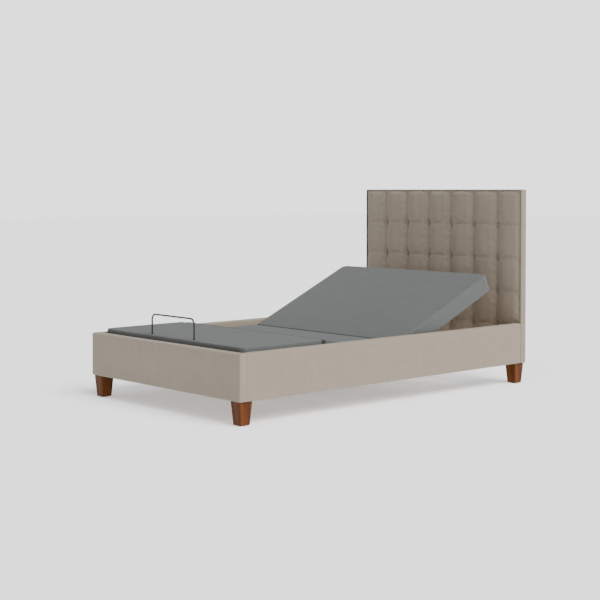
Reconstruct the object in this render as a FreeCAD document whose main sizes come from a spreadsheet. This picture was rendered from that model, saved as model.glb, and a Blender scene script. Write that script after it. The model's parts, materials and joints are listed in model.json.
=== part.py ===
import FreeCAD
import Part
import PartDesign
import Sketcher
import os
import re

# Adjustable bed base: an upholstered surround on four wooden legs, with a
# four-section lift-up deck inside it.  Millimetres, +Z up.  X is the width,
# the foot end is towards -Y and the headboard towards +Y.  The origin is the
# middle of the footprint, on the floor.
#
# Every sub-part is first laid out with the deck flat, and the pieces that
# move are then placed in the half-raised rest pose (see rest_pose below).

SIZES = {
    # overall
    "bed_length": 2170,         # foot rail front to headboard back
    "bed_width": 1280,
    "rail_bottom": 120,         # floor to underside of the surround
    "rail_height": 231,
    "headboard_rise": 1016,     # underside to top of the headboard
    # surround
    "foot_rail_thick": 44,
    "side_rail_thick": 40,
    "headboard_thick": 46,
    "rail_cover": 3,            # fabric and wadding
    "headboard_skin": 3,
    "headboard_pad": 26,        # foam in front of the headboard's panel
    "tuft_columns": 7,
    "tuft_row_pitch": 196,
    "tuft_top_drop": 206,       # headboard top to the first row of buttons
    "button_radius": 12,
    "button_thick": 5,
    "button_sink": 7,
    "corner_block": 40,
    "corner_block_rise": 96,
    # legs
    "leg_inset": 46,            # leg centre from the surround's outer faces
    "leg_top": 76,
    "leg_foot": 58,
    "leg_edge": 3,
    "leg_plate": 60,
    "leg_plate_thick": 3,
    "leg_stud_radius": 4,
    "leg_stud_length": 22,
    "glide": 4,
    "glide_radius": 18,
    # deck sections
    "deck_side_gap": 8,         # deck to side rail
    "deck_top": 318,
    "deck_depth": 94,
    "deck_cover": 3,
    "deck_board": 15,
    "deck_wall": 20,            # timber frame under the board
    "deck_corner": 30,
    "foot_gap": 20,             # foot rail to calf section, deck flat
    "section_gap": 18,
    "calf_length": 519,
    "thigh_length": 282,
    "seat_length": 231,
    "back_length": 800,
    # rest pose
    "back_angle": 24.2,
    "thigh_angle": 10.5,
    "back_full": 62,
    "thigh_full": 37,
    # hinges
    "hinge_drop": 14,           # axis from the near face of the deck
    "hinge_inset": 172,         # hinge middle from the side edge of the deck
    "hinge_width": 60,
    "hinge_leaf": 3,
    "hinge_height": 60,
    "knuckle_radius": 5.5,
    "knuckle_width": 18,
    "hinge_pin_radius": 2.5,
    "run_fit": 0.3,             # radial clearance of a turning fit
    "side_fit": 0.4,            # end clearance between turning parts
    "rod_fit": 0.6,             # radial clearance at a linkage's loose pivot
    # steel frame
    "tube_wide": 30,
    "tube_high": 40,
    "tube_wall": 2,
    "tube_side_gap": 5,
    "tube_end_gap": 48,
    "tube_head_end": 1970,      # from the foot rail's front
    "cross_tube_calf": 274,     # from the calf section's foot edge
    "cross_tube_back": 550,     # from the back section's hinge edge
    "ledger_wide": 28,
    "ledger_high": 40,
    "pad_thick": 3.7,
    "pad_seat": 4,
    "pad_radius": 12,
    "pad_inset": 60,            # from a section's two ends
    # lifting gear: shafts, arms and rods
    "shaft_drop": 116,          # below the hinge axes
    "shaft_radius": 14,
    "back_shaft_reach": 160,    # from the back hinge
    "thigh_shaft_reach": 130,
    "back_arm_reach": 328,
    "thigh_arm_reach": 197,
    "arm_drop": 36,
    "arm_place": 268,           # arm middle from the centreline
    "arm_thick": 8,
    "arm_half": 13,
    "rod_thick": 6,
    "rod_half": 10,
    "gear_gap": 2,              # between arm, rod and lug
    "pivot_radius": 5,
    "lug_half": 14,
    "flange_thick": 4,
    "flange_wide": 24,
    "bearing_size": 50,
    "bearing_thick": 20,
    # calf link, parallel to the thigh
    "link_back": 185,
    "link_drop": 96,
    "link_gap": 13,             # link middle to the long tube
    # drive unit
    "drive_width": 176,
    "drive_bottom": 126,
    "drive_top": 214,
    "drive_wall": 3,
    "drive_overhang": 45,
    "drive_corner": 12,
    "lever_length": 34,
    "lever_tip": 5,
    "lever_half": 3.5,
    "lever_wide": 16,
    "hub_radius": 20,
    "slider_length": 32,
    "slider_wide": 28,
    "slider_bottom": 131,
    "slider_top": 160,
    "slot_bottom": 147,
    "slot_fit": 0.9,
    "spindle_radius": 5,
    "spindle_height": 139,
    "spindle_length": 155,
    "spindle_overrun": 37,
    "gearbox_length": 40,
    "gearbox_width": 60,
    "gearbox_top": 206,
    "motor_radius": 22,
    "motor_length": 80,
    "motor_height": 168,
    "circuit_gap": 5,
    "circuit_back": 120,        # its start, from the housing's middle
    "circuit_long": 180,
    "circuit_lift": 5,
    "circuit_thick": 2,
    "circuit_inset": 8,
    "circuit_post": 3,
    "transformer_place": 22,
    "transformer_long": 34,
    "transformer_wide": 26,
    "transformer_high": 22,
    "heat_sink_place": 110,
    "heat_sink_long": 42,
    "heat_sink_wide": 16,
    "heat_sink_high": 14,
    "socket_depth": 16,
    "socket_rim": 2,
    "socket_well": 12,
    "socket_rise": 24,
    "socket_high": 24,
    "mains_socket_back": 60,
    "mains_socket_wide": 28,
    "handset_socket_back": 10,
    "handset_socket_wide": 16,
    # mattress retainer
    "retainer_place": 18,       # bar middle from the calf section's foot edge
    "retainer_width": 362,
    "retainer_rise": 113,
    "retainer_radius": 4.5,
    "retainer_bend": 28,
    "retainer_tail": 50,        # let into the board and frame
    "collar_radius": 10,
    "collar_thick": 3,
}

# Places worked out from the sizes, as expressions over them.
PLACES = {
    "foot_face": "-bed_length / 2",
    "head_face": "bed_length / 2",
    "half_width": "bed_width / 2",
    "rail_top": "rail_bottom + rail_height",
    "rail_inside": "half_width - side_rail_thick",
    "foot_inside": "foot_face + foot_rail_thick",
    "head_inside": "head_face - headboard_thick",
    "headboard_top": "rail_bottom + headboard_rise",
    "tuft_pitch": "bed_width / tuft_columns",
    "half_deck": "rail_inside - deck_side_gap",
    "deck_bottom": "deck_top - deck_depth",
    "board_bottom": "deck_top - deck_cover - deck_board",
    "calf_start": "foot_inside + foot_gap",
    "calf_end": "calf_start + calf_length",
    "knee_y": "calf_end + section_gap / 2",
    "knee_z": "deck_bottom + hinge_drop",
    "thigh_start": "calf_end + section_gap",
    "thigh_end": "thigh_start + thigh_length",
    "thigh_y": "thigh_end + section_gap / 2",
    "hinge_z": "deck_top - hinge_drop",
    "seat_start": "thigh_end + section_gap",
    "seat_end": "seat_start + seat_length",
    "back_y": "seat_end + section_gap / 2",
    "back_start": "seat_end + section_gap",
    "back_end": "back_start + back_length",
    "frame_top": "deck_bottom - pad_seat",
    "frame_bottom": "frame_top - tube_high",
    "tube_outside": "rail_inside - tube_side_gap",
    "tube_inside": "tube_outside - tube_wide",
    "tube_start": "foot_inside + tube_end_gap",
    "tube_end": "foot_face + tube_head_end",
    "shaft_z": "hinge_z - shaft_drop",
    "back_shaft_y": "back_y + back_shaft_reach",
    "thigh_shaft_y": "thigh_y - thigh_shaft_reach",
    "arm_inner": "arm_place - arm_thick / 2",
    "rod_outer": "arm_inner - gear_gap",
    "rod_inner": "rod_outer - rod_thick",
    "lug_outer": "rod_inner - gear_gap",
    "lug_inner": "lug_outer - rod_thick",
    "hinge_place": "half_deck - hinge_inset",
    "link_place": "tube_inside - link_gap",
    "link_post_y": "thigh_y - link_back",
    "link_post_z": "hinge_z - link_drop",
    "link_lug_y": "knee_y - link_back",
    "link_lug_z": "knee_z - link_drop",
    "drive_start": "thigh_shaft_y - drive_overhang",
    "drive_end": "back_shaft_y + drive_overhang",
}

SECTIONS = {
    "calf": ("calf_start", "calf_end"),
    "thigh": ("thigh_start", "thigh_end"),
    "seat": ("seat_start", "seat_end"),
    "back": ("back_start", "back_end"),
}

SIDES = (-1, 1)
SIDE_NAMES = {-1: "left", 1: "right"}

document = FreeCAD.newDocument("adjustable_bed_base")
sheet = document.addObject("Spreadsheet::Sheet", "sizes")
for row, (name, number) in enumerate(SIZES.items(), start=1):
    sheet.set(f"A{row}", name)
    sheet.set(f"B{row}", str(number))
    sheet.setAlias(f"B{row}", name)
document.recompute()

WORD = re.compile(r"[a-z][a-z_]*[a-z]")
nodes = []


def expand(expression):
    """Write an expression over sizes and places in terms of the sheet's cells."""
    def swap(match):
        word = match.group()
        if word in PLACES:
            return f"({expand(PLACES[word])})"
        return f"sizes.{word}" if word in SIZES else word
    return WORD.sub(swap, str(expression))


def bind(thing, field, expression):
    thing.setExpression(field, expand(expression))


def place(thing, x, y, z):
    for axis, expression in zip("xyz", (x, y, z)):
        bind(thing, f"Placement.Base.{axis}", expression)


def block(x, y, z, label="block"):
    """A box from (low, high) expressions along each axis."""
    box = document.addObject("Part::Box", label)
    for field, (low, high) in zip(("Length", "Width", "Height"), (x, y, z)):
        bind(box, field, f"({high}) - ({low})")
    place(box, x[0], y[0], z[0])
    return box


def rod(axis, start, radius, length, label="rod"):
    """A cylinder that starts at a point and runs along +X, +Y or +Z."""
    turns = {
        "x": FreeCAD.Rotation(FreeCAD.Vector(0, 1, 0), 90),
        "y": FreeCAD.Rotation(FreeCAD.Vector(1, 0, 0), -90),
        "z": FreeCAD.Rotation(),
    }
    cylinder = document.addObject("Part::Cylinder", label)
    cylinder.Placement = FreeCAD.Placement(FreeCAD.Vector(), turns[axis])
    bind(cylinder, "Radius", radius)
    bind(cylinder, "Height", length)
    place(cylinder, *start)
    return cylinder


def side_span(side, inner, outer):
    """The (low, high) pair along X of something on one side of the bed."""
    if side > 0:
        return (inner, outer)
    return (f"-({outer})", f"-({inner})")


def centred(half):
    return (f"-({half})", half)


def fuse(shapes, label="fusion"):
    fusion = document.addObject("Part::MultiFuse", label)
    fusion.Shapes = shapes
    fusion.Refine = True
    return fusion


def collect(shapes, label="set"):
    compound = document.addObject("Part::Compound", label)
    compound.Links = shapes
    return compound


def cut(base, tools, label="cut"):
    result = document.addObject("Part::Cut", label)
    result.Base = base
    result.Tool = tools[0] if len(tools) == 1 else collect(tools)
    return result


def node(thing, label):
    """Name a finished sub-part and list it for writing out."""
    thing.Label = label
    nodes.append(thing)
    return thing


def round_uprights(box, radius, at_low_y, at_high_y):
    """Round the upright edges of a box at one or both of its ends."""
    document.recompute()
    middle = box.Shape.BoundBox.Center.y
    picked = []
    for index, edge in enumerate(box.Shape.Edges, start=1):
        low, high = (vertex.Point for vertex in edge.Vertexes)
        upright = abs(low.x - high.x) < 1e-6 and abs(low.y - high.y) < 1e-6
        if upright and (at_low_y if low.y < middle else at_high_y):
            picked.append((index, radius, radius))
    rounded = document.addObject("Part::Fillet", "rounded")
    rounded.Base = box
    rounded.Edges = picked
    return rounded


def size(name):
    return float(sheet.get(name))


# ---------------------------------------------------------------- sketches

def new_body(label):
    return document.addObject("PartDesign::Body", label)


def sketch_on(body, plane, offset):
    """A sketch on one of the body's origin planes, moved by expressions."""
    sketch = body.newObject("Sketcher::SketchObject", "sketch")
    origin_plane = next(f for f in body.Origin.OriginFeatures if f.Role == plane)
    sketch.AttachmentSupport = (origin_plane, "")
    sketch.MapMode = "FlatFace"
    for axis, expression in zip("xyz", offset):
        bind(sketch, f"AttachmentOffset.Base.{axis}", expression)
    return sketch


def draw_rectangle(sketch, width, height):
    """A rectangle centred on the sketch's origin."""
    corners = [(-10, -10), (10, -10), (10, 10), (-10, 10)]
    for index in range(4):
        start = FreeCAD.Vector(*corners[index], 0)
        end = FreeCAD.Vector(*corners[(index + 1) % 4], 0)
        sketch.addGeometry(Part.LineSegment(start, end))
    for index in range(4):
        sketch.addConstraint(Sketcher.Constraint("Coincident", index, 2, (index + 1) % 4, 1))
        level = "Horizontal" if index % 2 == 0 else "Vertical"
        sketch.addConstraint(Sketcher.Constraint(level, index))
    sketch.addConstraint(Sketcher.Constraint("Symmetric", 0, 1, 1, 2, -1, 1))
    for name, line, kind, expression in (("wide", 0, "DistanceX", width), ("high", 1, "DistanceY", height)):
        added = sketch.addConstraint(Sketcher.Constraint(kind, line, 1, line, 2, 20))
        sketch.renameConstraint(added, name)
        bind(sketch, f"Constraints.{name}", expression)


def draw_circle(sketch, radius):
    sketch.addGeometry(Part.Circle(FreeCAD.Vector(), FreeCAD.Vector(0, 0, 1), 5))
    sketch.addConstraint(Sketcher.Constraint("Coincident", 0, 3, -1, 1))
    added = sketch.addConstraint(Sketcher.Constraint("Radius", 0, 5))
    sketch.renameConstraint(added, "radius")
    bind(sketch, "Constraints.radius", radius)


def pad(body, sketch, length):
    feature = body.newObject("PartDesign::Pad", "pad")
    feature.Profile = sketch
    bind(feature, "Length", length)
    return feature


def pocket(body, sketch, length, reverse):
    """Cut a sketch into the body, and check that it took something away."""
    document.recompute()
    before = body.Shape.Volume
    feature = body.newObject("PartDesign::Pocket", "pocket")
    feature.Profile = sketch
    feature.Reversed = reverse
    bind(feature, "Length", length)
    document.recompute()
    if body.Shape.Volume >= before:
        raise RuntimeError(f"{body.Label}: a pocket cuts nothing")
    return feature


def round_edges(body, radius, wanted):
    """Fillet the edges of the body's last feature that a test picks."""
    document.recompute()
    last = body.Tip
    names = [f"Edge{i}" for i, edge in enumerate(last.Shape.Edges, start=1) if wanted(edge)]
    fillet = body.newObject("PartDesign::Fillet", "fillet")
    fillet.Base = (last, names)
    bind(fillet, "Radius", radius)
    return fillet


# ---------------------------------------------------------------- surround

def build_rails():
    """Foot rail and side rails: a board in a fabric cover that is open below."""
    skin = "rail_cover"
    board_z = ("rail_bottom", f"rail_top - {skin}")
    foot_x = centred(f"half_width - {skin}")
    foot_y = (f"foot_face + {skin}", f"foot_inside - {skin}")
    outer = block(centred("half_width"), ("foot_face", "foot_inside"), ("rail_bottom", "rail_top"))
    node(cut(outer, [block(foot_x, foot_y, board_z)]), "foot_rail_cover")
    node(block(foot_x, foot_y, board_z), "foot_rail_board")
    run = ("foot_inside", "head_inside")
    for side in SIDES:
        board_x = side_span(side, f"rail_inside + {skin}", f"half_width - {skin}")
        outer = block(side_span(side, "rail_inside", "half_width"), run, ("rail_bottom", "rail_top"))
        hollow = block(board_x, run, board_z)
        node(cut(outer, [hollow]), f"side_rail_cover_{SIDE_NAMES[side]}")
        node(block(board_x, run, board_z), f"side_rail_board_{SIDE_NAMES[side]}")


def tuft_points():
    """Button places: six across, four rows down from the top."""
    for column in (-2.5, -1.5, -0.5, 0.5, 1.5, 2.5):
        for line in range(4):
            x = f"{column} * tuft_pitch"
            z = f"headboard_top - tuft_top_drop - {line} * tuft_row_pitch"
            yield x, z


def build_headboard():
    """Panel, tufted foam front, fabric wrap round the edges and back, buttons."""
    skin = "headboard_skin"
    inner_x = centred(f"half_width - {skin}")
    inner_z = ("rail_bottom", f"headboard_top - {skin}")
    pad_back = "head_inside + headboard_pad"
    panel_y = (pad_back, f"head_face - {skin}")
    whole_y = ("head_inside", "head_face")
    outer = block(centred("half_width"), whole_y, ("rail_bottom", "headboard_top"))
    hollow = block(inner_x, ("head_inside", f"head_face - {skin}"), inner_z)
    node(cut(outer, [hollow]), "headboard_wrap")
    node(block(inner_x, panel_y, inner_z), "headboard_panel")
    front = block(inner_x, ("head_inside", pad_back), inner_z)
    recess = "button_sink + button_thick"
    wells = []
    buttons = []
    for x, z in tuft_points():
        wells.append(rod("y", (x, "head_inside", z), "button_radius + side_fit", recess))
        buttons.append(rod("y", (x, "head_inside + button_sink", z), "button_radius", "button_thick"))
    node(cut(front, wells), "headboard_pad")
    node(collect(buttons), "headboard_buttons")


def build_corner_blocks():
    """Timber posts that join the rails in the four inner corners."""
    posts = []
    for side in SIDES:
        x = side_span(side, "rail_inside - corner_block", "rail_inside")
        z = ("rail_bottom", "rail_bottom + corner_block_rise")
        posts.append(block(x, ("foot_inside", "foot_inside + corner_block"), z))
        posts.append(block(x, ("head_inside - corner_block", "head_inside"), z))
    node(collect(posts), "corner_blocks")


# -------------------------------------------------------------------- legs

LEG_CORNERS = {
    "front_left": ("-(half_width - leg_inset)", "foot_face + leg_inset"),
    "front_right": ("half_width - leg_inset", "foot_face + leg_inset"),
    "rear_left": ("-(half_width - leg_inset)", "head_face - leg_inset"),
    "rear_right": ("half_width - leg_inset", "head_face - leg_inset"),
}


def is_slanting(edge):
    """An edge that runs from the foot of a leg to its top."""
    box = edge.BoundBox
    return box.ZLength > box.XLength and box.ZLength > box.YLength and box.ZLength > 30


def build_legs():
    """Tapered square legs, each with a steel top plate, its stud and a glide."""
    plates = []
    glides = []
    top = "rail_bottom - leg_plate_thick"
    for corner, (x, y) in LEG_CORNERS.items():
        leg = new_body(f"leg_{corner}")
        foot = sketch_on(leg, "XY_Plane", (x, y, "glide"))
        draw_rectangle(foot, "leg_foot", "leg_foot")
        taper = pad(leg, foot, f"{top} - glide")
        bind(taper, "TaperAngle", f"atan((leg_top - leg_foot) / 2 / ({top} - glide))")
        round_edges(leg, "leg_edge", is_slanting)
        stud_hole = sketch_on(leg, "XY_Plane", (x, y, top))
        draw_circle(stud_hole, "leg_stud_radius")
        pocket(leg, stud_hole, "leg_stud_length", False)
        node(leg, f"leg_{corner}")
        half = "leg_plate / 2"
        plate = block((f"{x} - {half}", f"{x} + {half}"), (f"{y} - {half}", f"{y} + {half}"), (top, "rail_bottom"))
        stud = rod("z", (x, y, f"{top} - leg_stud_length"), "leg_stud_radius", "leg_stud_length")
        plates.append(fuse([plate, stud]))
        glides.append(rod("z", (x, y, "0"), "glide_radius", "glide"))
    node(collect(plates), "leg_plates")
    node(collect(glides), "leg_glides")


# ------------------------------------------------------------- steel frame

def hollow_tube_y(x, y, z):
    wall = "tube_wall"
    bore_x = (f"{x[0]} + {wall}", f"{x[1]} - {wall}")
    bore_z = (f"{z[0]} + {wall}", f"{z[1]} - {wall}")
    return cut(block(x, y, z), [block(bore_x, y, bore_z)])


def hollow_tube_x(x, y, z):
    wall = "tube_wall"
    bore_y = (f"{y[0]} + {wall}", f"{y[1]} - {wall}")
    bore_z = (f"{z[0]} + {wall}", f"{z[1]} - {wall}")
    return cut(block(x, y, z), [block(x, bore_y, bore_z)])


def build_frame():
    """Ledgers on the side rails, two long tubes on them, and cross tubes."""
    level = ("frame_bottom", "frame_top")
    ledger_y = ("foot_inside + corner_block", "head_inside - corner_block")
    for side in SIDES:
        name = SIDE_NAMES[side]
        ledger_x = side_span(side, "rail_inside - ledger_wide", "rail_inside")
        node(block(ledger_x, ledger_y, ("frame_bottom - ledger_high", "frame_bottom")), f"ledger_{name}")
        tube_x = side_span(side, "tube_inside", "tube_outside")
        node(hollow_tube_y(tube_x, ("tube_start", "tube_end"), level), f"frame_tube_{name}")
    starts = (
        "tube_start",
        "calf_start + cross_tube_calf",
        "back_start + cross_tube_back",
        "tube_end - tube_wide",
    )
    bars = [hollow_tube_x(centred("tube_inside"), (start, f"{start} + tube_wide"), level) for start in starts]
    node(collect(bars), "cross_tubes")


def build_rest_pads():
    """Rubber pads on the long tubes; the seat stands on thicker ones."""
    pads = []
    for side in SIDES:
        x = f"{side} * (tube_inside + tube_wide / 2)"
        for section, (start, end) in SECTIONS.items():
            places = [f"{start} + pad_inset", f"{end} - pad_inset"]
            if section == "back":
                places.append(f"({start} + {end}) / 2")
            thick = "pad_seat" if section == "seat" else "pad_thick"
            pads += [rod("z", (x, y, "frame_top"), "pad_radius", thick) for y in places]
    node(collect(pads), "rest_pads")


# ----------------------------------------------------------- deck sections

def deck_block(ends, inset, z, section):
    """A slab of one section, inset all round, with its free corners rounded."""
    start, end = ends
    slab = block(centred(f"half_deck - ({inset})"), (f"{start} + {inset}", f"{end} - ({inset})"), z)
    if section not in ("calf", "back"):
        return slab
    radius = size("deck_corner") - sum(size(word) for word in WORD.findall(str(inset)))
    return round_uprights(slab, radius, section == "calf", section == "back")


def build_sections():
    """Each section: plywood board, timber frame under it and a fabric cover."""
    skin = "deck_cover"
    for section, ends in SECTIONS.items():
        shell = deck_block(ends, "0", ("deck_bottom", "deck_top"), section)
        inside = deck_block(ends, skin, ("deck_bottom", f"deck_top - {skin}"), section)
        cover_cuts = [inside]
        board = deck_block(ends, skin, ("board_bottom", f"deck_top - {skin}"), section)
        if section == "calf":
            cover_cuts += retainer_holes()
            board = cut(board, retainer_holes())
        node(cut(shell, cover_cuts), f"{section}_cover")
        node(collect([board]), f"{section}_board")
        ring = deck_block(ends, skin, ("deck_bottom", "board_bottom"), section)
        wall = f"{skin} + deck_wall"
        x = centred(f"half_deck - ({wall})")
        y = (f"{ends[0]} + {wall}", f"{ends[1]} - ({wall})")
        hollow = [block(x, y, ("deck_bottom", "board_bottom"))]
        if section == "calf":
            hollow += retainer_holes()
        node(cut(ring, hollow), f"{section}_frame")


# ------------------------------------------------------------------ hinges

def leaf_set(axis_y, axis_z, towards, knuckles, bore, reach):
    """Leaves of the two butt hinges on one axis.

    towards is -1 or 1, the side of the axis along Y that the leaf is on;
    reach is -1 or 1, whether the leaf runs down or up from the axis; and
    knuckles lists the (start, width) of its barrels from the hinge's edge.
    """
    leaves = []
    face = "section_gap / 2"
    back = f"{axis_y} + {towards} * {face}"
    front = f"{axis_y} + {towards} * ({face} - hinge_leaf)"
    leaf_y = (back, front) if towards < 0 else (front, back)
    web_y = (back, axis_y) if towards < 0 else (axis_y, back)
    far = f"{axis_z} + {reach} * hinge_height"
    near = f"{axis_z} + {reach} * knuckle_radius"
    leaf_z = (far, axis_z) if reach < 0 else (axis_z, far)
    web_z = (near, axis_z) if reach < 0 else (axis_z, near)
    for side in SIDES:
        edge = f"{side} * hinge_place - hinge_width / 2"
        parts = [block((edge, f"{edge} + hinge_width"), leaf_y, leaf_z)]
        for start, width in knuckles:
            x = f"{edge} + {start}"
            parts.append(rod("x", (x, axis_y, axis_z), "knuckle_radius", width))
            parts.append(block((x, f"{x} + {width}"), web_y, web_z))
        drill = rod("x", (f"{edge} - 1", axis_y, axis_z), bore, "hinge_width + 2")
        leaves.append(cut(fuse(parts), [drill]))
    return leaves


OUTER_KNUCKLES = (("0", "knuckle_width"), ("hinge_width - knuckle_width", "knuckle_width"))
INNER_KNUCKLES = (("knuckle_width + side_fit", "hinge_width - 2 * (knuckle_width + side_fit)"),)


def pin_set(axis_y, axis_z):
    edges = (f"{side} * hinge_place - hinge_width / 2" for side in SIDES)
    return [rod("x", (edge, axis_y, axis_z), "hinge_pin_radius", "hinge_width") for edge in edges]


def build_hinges():
    """Hinges at the top of the seat's two joints and at the bottom of the knee."""
    loose = "hinge_pin_radius + run_fit"
    tight = "hinge_pin_radius"
    seat = leaf_set("back_y", "hinge_z", -1, OUTER_KNUCKLES, tight, -1)
    seat += leaf_set("thigh_y", "hinge_z", 1, OUTER_KNUCKLES, tight, -1)
    seat += pin_set("back_y", "hinge_z") + pin_set("thigh_y", "hinge_z")
    node(collect(seat), "seat_hinge_leaves")
    back = leaf_set("back_y", "hinge_z", 1, INNER_KNUCKLES, loose, -1)
    node(collect(back), "back_hinge_leaves")
    thigh = leaf_set("thigh_y", "hinge_z", -1, INNER_KNUCKLES, loose, -1)
    thigh += leaf_set("knee_y", "knee_z", 1, OUTER_KNUCKLES, tight, 1)
    thigh += pin_set("knee_y", "knee_z")
    node(collect(thigh), "thigh_hinge_leaves")
    calf = leaf_set("knee_y", "knee_z", -1, INNER_KNUCKLES, loose, 1)
    node(collect(calf), "calf_hinge_leaves")


# ------------------------------------------------------------ lifting gear

def bar_between(x, start, end, half):
    """A flat bar with round ends between two points of the YZ plane."""
    low, high = x
    thick = f"({high}) - ({low})"
    run = f"sqrt((({end[0]}) - ({start[0]}))^2 + (({end[1]}) - ({start[1]}))^2)"
    web = document.addObject("Part::Box", "web")
    web.Placement = FreeCAD.Placement(FreeCAD.Vector(), FreeCAD.Rotation(FreeCAD.Vector(1, 0, 0), 10))
    bind(web, "Length", thick)
    bind(web, "Width", run)
    bind(web, "Height", f"2 * {half}")
    rise = f"(({end[1]}) - ({start[1]}))"
    along = f"(({end[0]}) - ({start[0]}))"
    bind(web, "Placement.Rotation.Angle", f"atan2({rise}; {along})")
    y = f"({start[0]}) + {half} * {rise} / {run}"
    z = f"({start[1]}) - {half} * {along} / {run}"
    place(web, low, y, z)
    ends = [rod("x", (low, point[0], point[1]), half, thick) for point in (start, end)]
    return fuse([web] + ends)


def pivot(x, point, radius):
    return rod("x", (x[0], point[0], point[1]), radius, f"({x[1]}) - ({x[0]})")


def lift_points(kind):
    """Shaft centre, arm end and lug of the back's or the thigh's lift."""
    away = 1 if kind == "back" else -1
    hinge_y = f"{kind}_y"
    shaft = (f"{kind}_shaft_y", "shaft_z")
    end = (f"{kind}_shaft_y + {away} * {kind}_arm_reach", "shaft_z - arm_drop")
    lug = (f"{hinge_y} + {away} * {kind}_arm_reach", "hinge_z - arm_drop")
    return away, shaft, end, lug


def build_lift(kind):
    """A shaft with two arms and a drive lever, two rods, and lugs for them."""
    away, shaft, end, lug = lift_points(kind)
    reach = "tube_inside - 1"
    parts = [pivot(centred(reach), shaft, "shaft_radius")]
    for side in SIDES:
        parts.append(bar_between(side_span(side, "arm_inner", "arm_inner + arm_thick"), shaft, end, "arm_half"))
        parts.append(pivot(side_span(side, "rod_inner", "arm_inner + arm_thick"), end, "pivot_radius"))
        parts.append(pivot(side_span(side, "arm_inner", "arm_inner + arm_thick"), shaft, "hub_radius"))
    swing = f"{away} * {kind}_full / 2"
    tip = (f"{shaft[0]} - lever_length * sin({swing})", f"{shaft[1]} - lever_length * cos({swing})")
    lever_x = centred("lever_wide / 2")
    parts.append(pivot(lever_x, shaft, "hub_radius"))
    parts.append(bar_between(lever_x, shaft, tip, "lever_half"))
    parts.append(pivot(lever_x, tip, "lever_tip"))
    node(fuse(parts), f"{kind}_lift_shaft")

    rods = []
    lugs = []
    for side in SIDES:
        x = side_span(side, "rod_inner", "rod_outer")
        bar = bar_between(x, end, lug, "rod_half")
        bores = [pivot(x, end, "pivot_radius + rod_fit"), pivot(x, lug, "pivot_radius + run_fit")]
        rods.append(cut(bar, bores))
        lugs.append(hanging_lug(side, ("lug_inner", "lug_outer"), lug, "rod_outer"))
    node(collect(rods), f"{kind}_lift_rods")
    node(collect(lugs), f"{kind}_lift_lugs")


def hanging_lug(side, span, point, pin_end):
    """A plate under the board that carries a pivot pin, with a screw flange."""
    inner, outer = span
    y = (f"{point[0]} - lug_half", f"{point[0]} + lug_half")
    eye = pivot(side_span(side, inner, outer), point, "lug_half")
    plate = block(side_span(side, inner, outer), y, (point[1], "board_bottom"))
    flange = block(side_span(side, f"{inner} - flange_wide", outer), y, ("board_bottom - flange_thick", "board_bottom"))
    pin = pivot(side_span(side, inner, pin_end), point, "pivot_radius")
    return fuse([eye, plate, flange, pin])


def build_calf_links():
    """Two links parallel to the thigh that keep the calf section level."""
    post = ("link_post_y", "link_post_z")
    lug = ("link_lug_y", "link_lug_z")
    inner = "link_place - rod_thick / 2"
    outer = "link_place + rod_thick / 2"
    links = []
    posts = []
    lugs = []
    for side in SIDES:
        x = side_span(side, inner, outer)
        bores = [pivot(x, post, "pivot_radius + run_fit"), pivot(x, lug, "pivot_radius + rod_fit")]
        links.append(cut(bar_between(x, post, lug, "rod_half"), bores))
        foot = pivot(side_span(side, f"{outer} + gear_gap", "tube_inside"), post, "rod_half")
        pin = pivot(side_span(side, inner, "tube_inside"), post, "pivot_radius")
        posts.append(fuse([foot, pin]))
        span = (f"{inner} - gear_gap - rod_thick", f"{inner} - gear_gap")
        lugs.append(hanging_lug(side, span, lug, outer))
    node(collect(links), "calf_links")
    node(collect(posts), "calf_link_posts")
    node(collect(lugs), "calf_link_lugs")


def build_bearings():
    """Nylon bearing blocks for both shafts on the inner faces of the long tubes."""
    blocks = []
    half = "bearing_size / 2"
    for shaft in ("thigh_shaft_y", "back_shaft_y"):
        for side in SIDES:
            x = side_span(side, "tube_inside - bearing_thick", "tube_inside")
            body = block(x, (f"{shaft} - {half}", f"{shaft} + {half}"), (f"shaft_z - {half}", f"shaft_z + {half}"))
            blocks.append(cut(body, [pivot(x, (shaft, "shaft_z"), "shaft_radius + run_fit")]))
    node(collect(blocks), "shaft_bearings")


# -------------------------------------------------------------- drive unit

def is_long_corner(edge):
    """A long outer edge of a housing shell, away from its joint face."""
    box = edge.BoundBox
    half = size("drive_width") / 2
    outside = abs(abs(box.Center.x) - half) < 0.01
    return box.YLength > 2 * size("drive_width") and outside and abs(box.Center.z - joint_height()) > 1


def joint_height():
    return size("deck_top") - size("hinge_drop") - size("shaft_drop")


def build_housing():
    """Plastic housing in two shells, split at the shafts' height."""
    length = "drive_end - drive_start"
    middle = "(drive_start + drive_end) / 2"
    wall = "drive_wall"
    shells = {"lower": ("drive_bottom", "shaft_z", 1), "upper": ("shaft_z", "drive_top", -1)}
    for name, (low, high, closed_low) in shells.items():
        body = new_body(f"drive_shell_{name}")
        outline = sketch_on(body, "XY_Plane", ("0", middle, low))
        draw_rectangle(outline, "drive_width", length)
        pad(body, outline, f"({high}) - ({low})")
        round_edges(body, "drive_corner", is_long_corner)
        level = high if closed_low > 0 else low
        hollow = sketch_on(body, "XY_Plane", ("0", middle, level))
        draw_rectangle(hollow, f"drive_width - 2 * {wall}", f"({length}) - 2 * {wall}")
        pocket(body, hollow, f"({high}) - ({low}) - {wall}", closed_low < 0)
        bores = [
            pivot(centred("drive_width"), (shaft, "shaft_z"), "shaft_radius + rod_fit")
            for shaft in ("thigh_shaft_y", "back_shaft_y")
        ]
        if name == "lower":
            bores += [block(x, y, z) for x, y, z in socket_spans()]
        node(cut(body, bores), f"drive_housing_{name}")


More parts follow.
